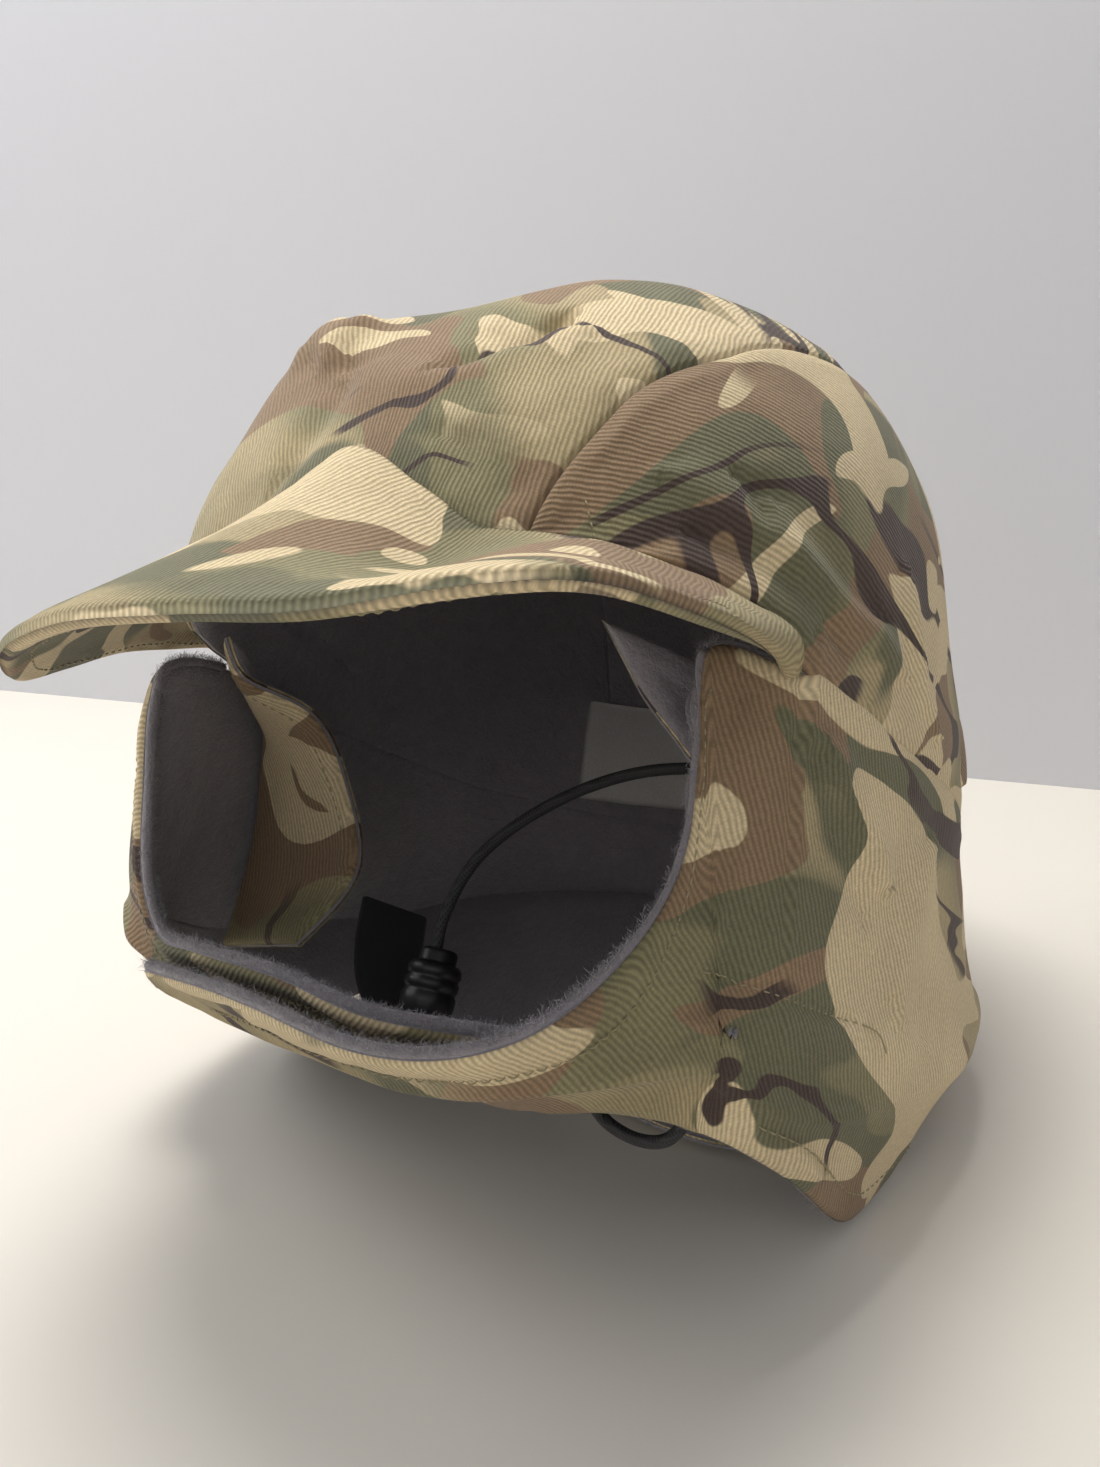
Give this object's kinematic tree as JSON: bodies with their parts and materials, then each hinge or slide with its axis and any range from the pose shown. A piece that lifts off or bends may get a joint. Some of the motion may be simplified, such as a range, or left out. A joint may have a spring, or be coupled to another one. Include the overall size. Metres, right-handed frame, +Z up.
{
  "type": "cold weather cap",
  "caption": "Padded fleece-lined cold weather cap with a soft peak and an ear and neck curtain closed under the chin, resting on its neck cape.",
  "frame": {"origin": "bottom centre of the bounding box of the resting cap, on the table", "axes": "+Z up from the table, -Y the way the peak points, +X the wearer's left; the cap leans back on its neck cape"},
  "size_m": [0.2094, 0.2916, 0.2224],
  "materials": {
    "camouflage_twill": "matte printed cotton twill, sand, tan, olive and dark brown patches",
    "grey_fleece": "soft brushed fleece, mid grey",
    "elastic_cord": "black braided elastic cord",
    "lock_plastic": "black moulded plastic",
    "label_cloth": "plain pale grey woven label"
  },
  "bodies": {
    "root": {"crown_centre_panel": "camouflage_twill", "crown_centre_lining": "grey_fleece", "crown_side_panel_left": "camouflage_twill", "crown_side_lining_left": "grey_fleece", "crown_side_panel_right": "camouflage_twill", "crown_side_lining_right": "grey_fleece", "peak": "camouflage_twill", "curtain_left": "camouflage_twill", "curtain_lining_left": "grey_fleece", "curtain_right": "camouflage_twill", "curtain_lining_right": "grey_fleece", "ear_flap_left": "camouflage_twill", "ear_flap_lining_left": "grey_fleece", "ear_flap_right": "camouflage_twill", "ear_flap_lining_right": "grey_fleece", "label": "label_cloth", "drawcord": "elastic_cord", "drawcord_loop": "elastic_cord", "cord_lock": "lock_plastic"}
  },
  "joints": []
}
